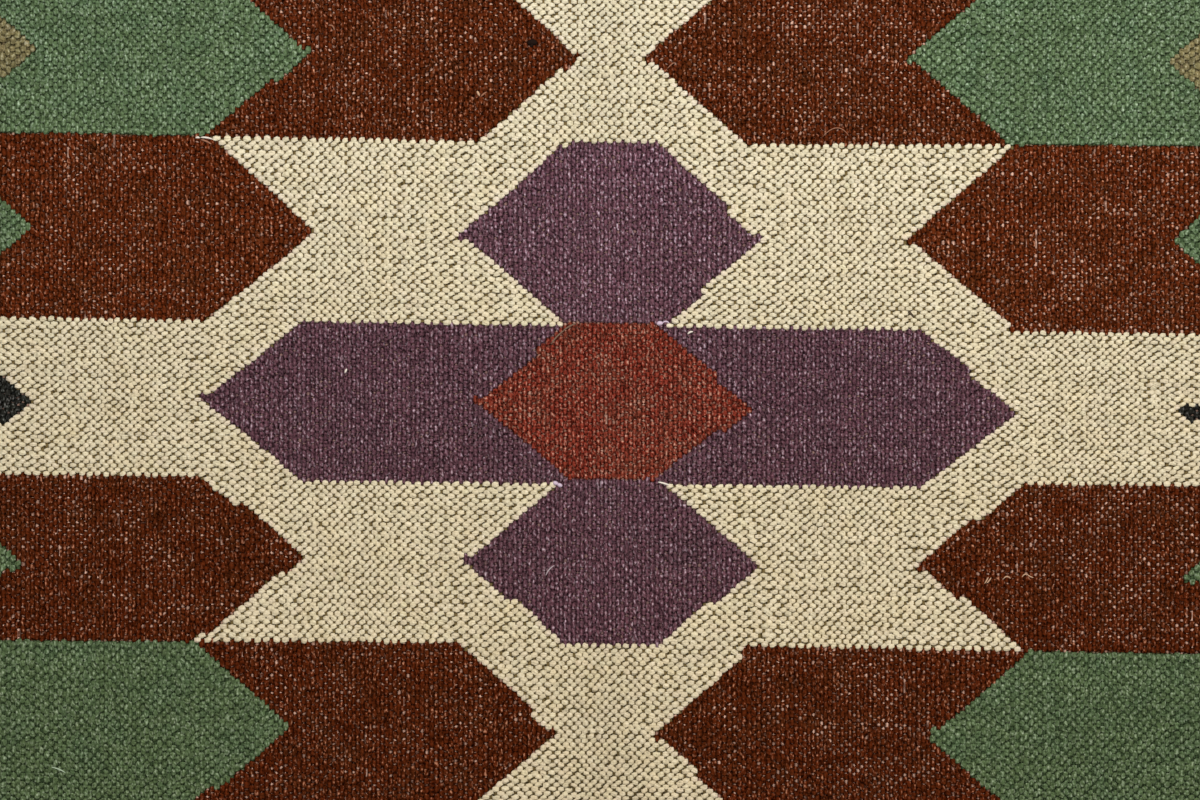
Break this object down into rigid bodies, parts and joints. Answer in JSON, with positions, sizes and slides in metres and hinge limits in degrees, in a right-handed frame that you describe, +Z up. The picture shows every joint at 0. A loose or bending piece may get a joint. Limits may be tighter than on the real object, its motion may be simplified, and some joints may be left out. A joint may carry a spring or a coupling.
{
  "type": "kilim rug",
  "caption": "Rectangular cut length of flat-woven kilim rug cloth that lies flat, with fine raised ribs on its face and a flat underside.",
  "frame": {"origin": "under the middle of the cloth, on the surface that it lies on", "axes": "+X along the wefts, the cloth's longest side; +Y along the warps; +Z up through the cloth's thickness, out of its ribbed face"},
  "size_m": [0.6744, 0.4692, 0.004],
  "materials": {
    "cream_weft": "matte",
    "brown_weft": "matte",
    "plum_weft": "matte",
    "green_weft": "matte",
    "rust_weft": "matte",
    "khaki_weft": "matte",
    "navy_weft": "matte",
    "warp_yarn": "matte"
  },
  "bodies": {
    "root": {"kilim_cloth": "cream_weft"}
  },
  "joints": []
}
